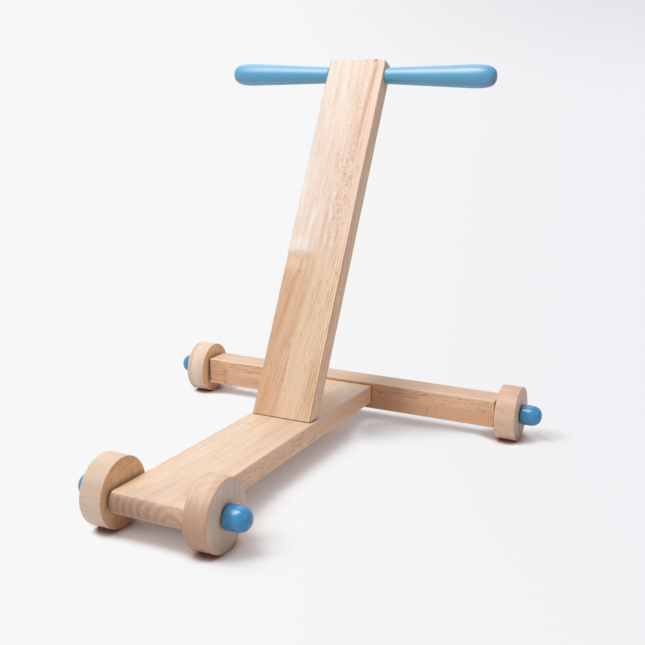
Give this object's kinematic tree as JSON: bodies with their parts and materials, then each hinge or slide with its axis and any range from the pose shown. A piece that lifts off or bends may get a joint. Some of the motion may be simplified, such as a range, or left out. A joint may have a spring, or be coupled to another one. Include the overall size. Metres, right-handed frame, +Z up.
{
  "type": "baby push walker",
  "caption": "Wooden push walker for a toddler: a raked plank post with two turned grips on a T-shaped chassis that rolls on wooden disc wheels with domed hub caps.",
  "frame": {"origin": "on the floor, on the plane of symmetry, midway between the front of the front wheels and the back of the rear wheels", "axes": "+Z up, +Y along the deck from its round nose towards the crossbar, +X along the crossbar to the right"},
  "size_m": [0.5388, 0.5206, 0.4759],
  "materials": {
    "deck_wood": "sanded pale hardwood, thin clear oil",
    "bar_wood": "sanded pale hardwood with reddish flecks, thin clear oil",
    "post_wood": "sanded finger-jointed pale hardwood, thin clear oil",
    "wheel_wood": "turned and sanded pale hardwood, thin clear oil",
    "dowel_wood": "plain beech dowel",
    "grip_paint": "turned wood, satin blue paint",
    "cap_paint": "turned wood, half-gloss blue paint",
    "nylon": "black nylon",
    "steel": "zinc-plated steel"
  },
  "bodies": {
    "frame": {"deck_board": "deck_wood", "crossbar": "bar_wood", "post": "post_wood", "left_grip": "grip_paint", "right_grip": "grip_paint", "handle_dowel": "dowel_wood", "front_left_cap": "cap_paint", "front_right_cap": "cap_paint", "rear_left_cap": "cap_paint", "rear_right_cap": "cap_paint", "front_left_inner_washer": "nylon", "front_left_outer_washer": "nylon", "front_right_inner_washer": "nylon", "front_right_outer_washer": "nylon", "rear_left_inner_washer": "nylon", "rear_left_outer_washer": "nylon", "rear_right_inner_washer": "nylon", "rear_right_outer_washer": "nylon", "front_axle": "steel", "rear_left_axle": "steel", "rear_right_axle": "steel", "post_screw_left": "steel", "post_screw_right": "steel", "crossbar_screw_left": "steel", "crossbar_screw_right": "steel", "crossbar_dowel_left": "dowel_wood", "crossbar_dowel_right": "dowel_wood"},
    "front_left_roller": {"front_left_wheel": "wheel_wood"},
    "front_right_roller": {"front_right_wheel": "wheel_wood"},
    "rear_left_roller": {"rear_left_wheel": "wheel_wood"},
    "rear_right_roller": {"rear_right_wheel": "wheel_wood"}
  },
  "joints": [
    {"name": "front_left_spin", "type": "hinge", "parent": "frame", "child": "front_left_roller", "pos_m": [-0.0595, -0.2229, 0.0375], "axis": [1, 0, 0], "continuous": true},
    {"name": "front_right_spin", "type": "hinge", "parent": "frame", "child": "front_right_roller", "pos_m": [0.0595, -0.2229, 0.0375], "axis": [1, 0, 0], "continuous": true},
    {"name": "rear_left_spin", "type": "hinge", "parent": "frame", "child": "rear_left_roller", "pos_m": [-0.2295, 0.2254, 0.035], "axis": [1, 0, 0], "continuous": true},
    {"name": "rear_right_spin", "type": "hinge", "parent": "frame", "child": "rear_right_roller", "pos_m": [0.2295, 0.2254, 0.035], "axis": [1, 0, 0], "continuous": true}
  ]
}
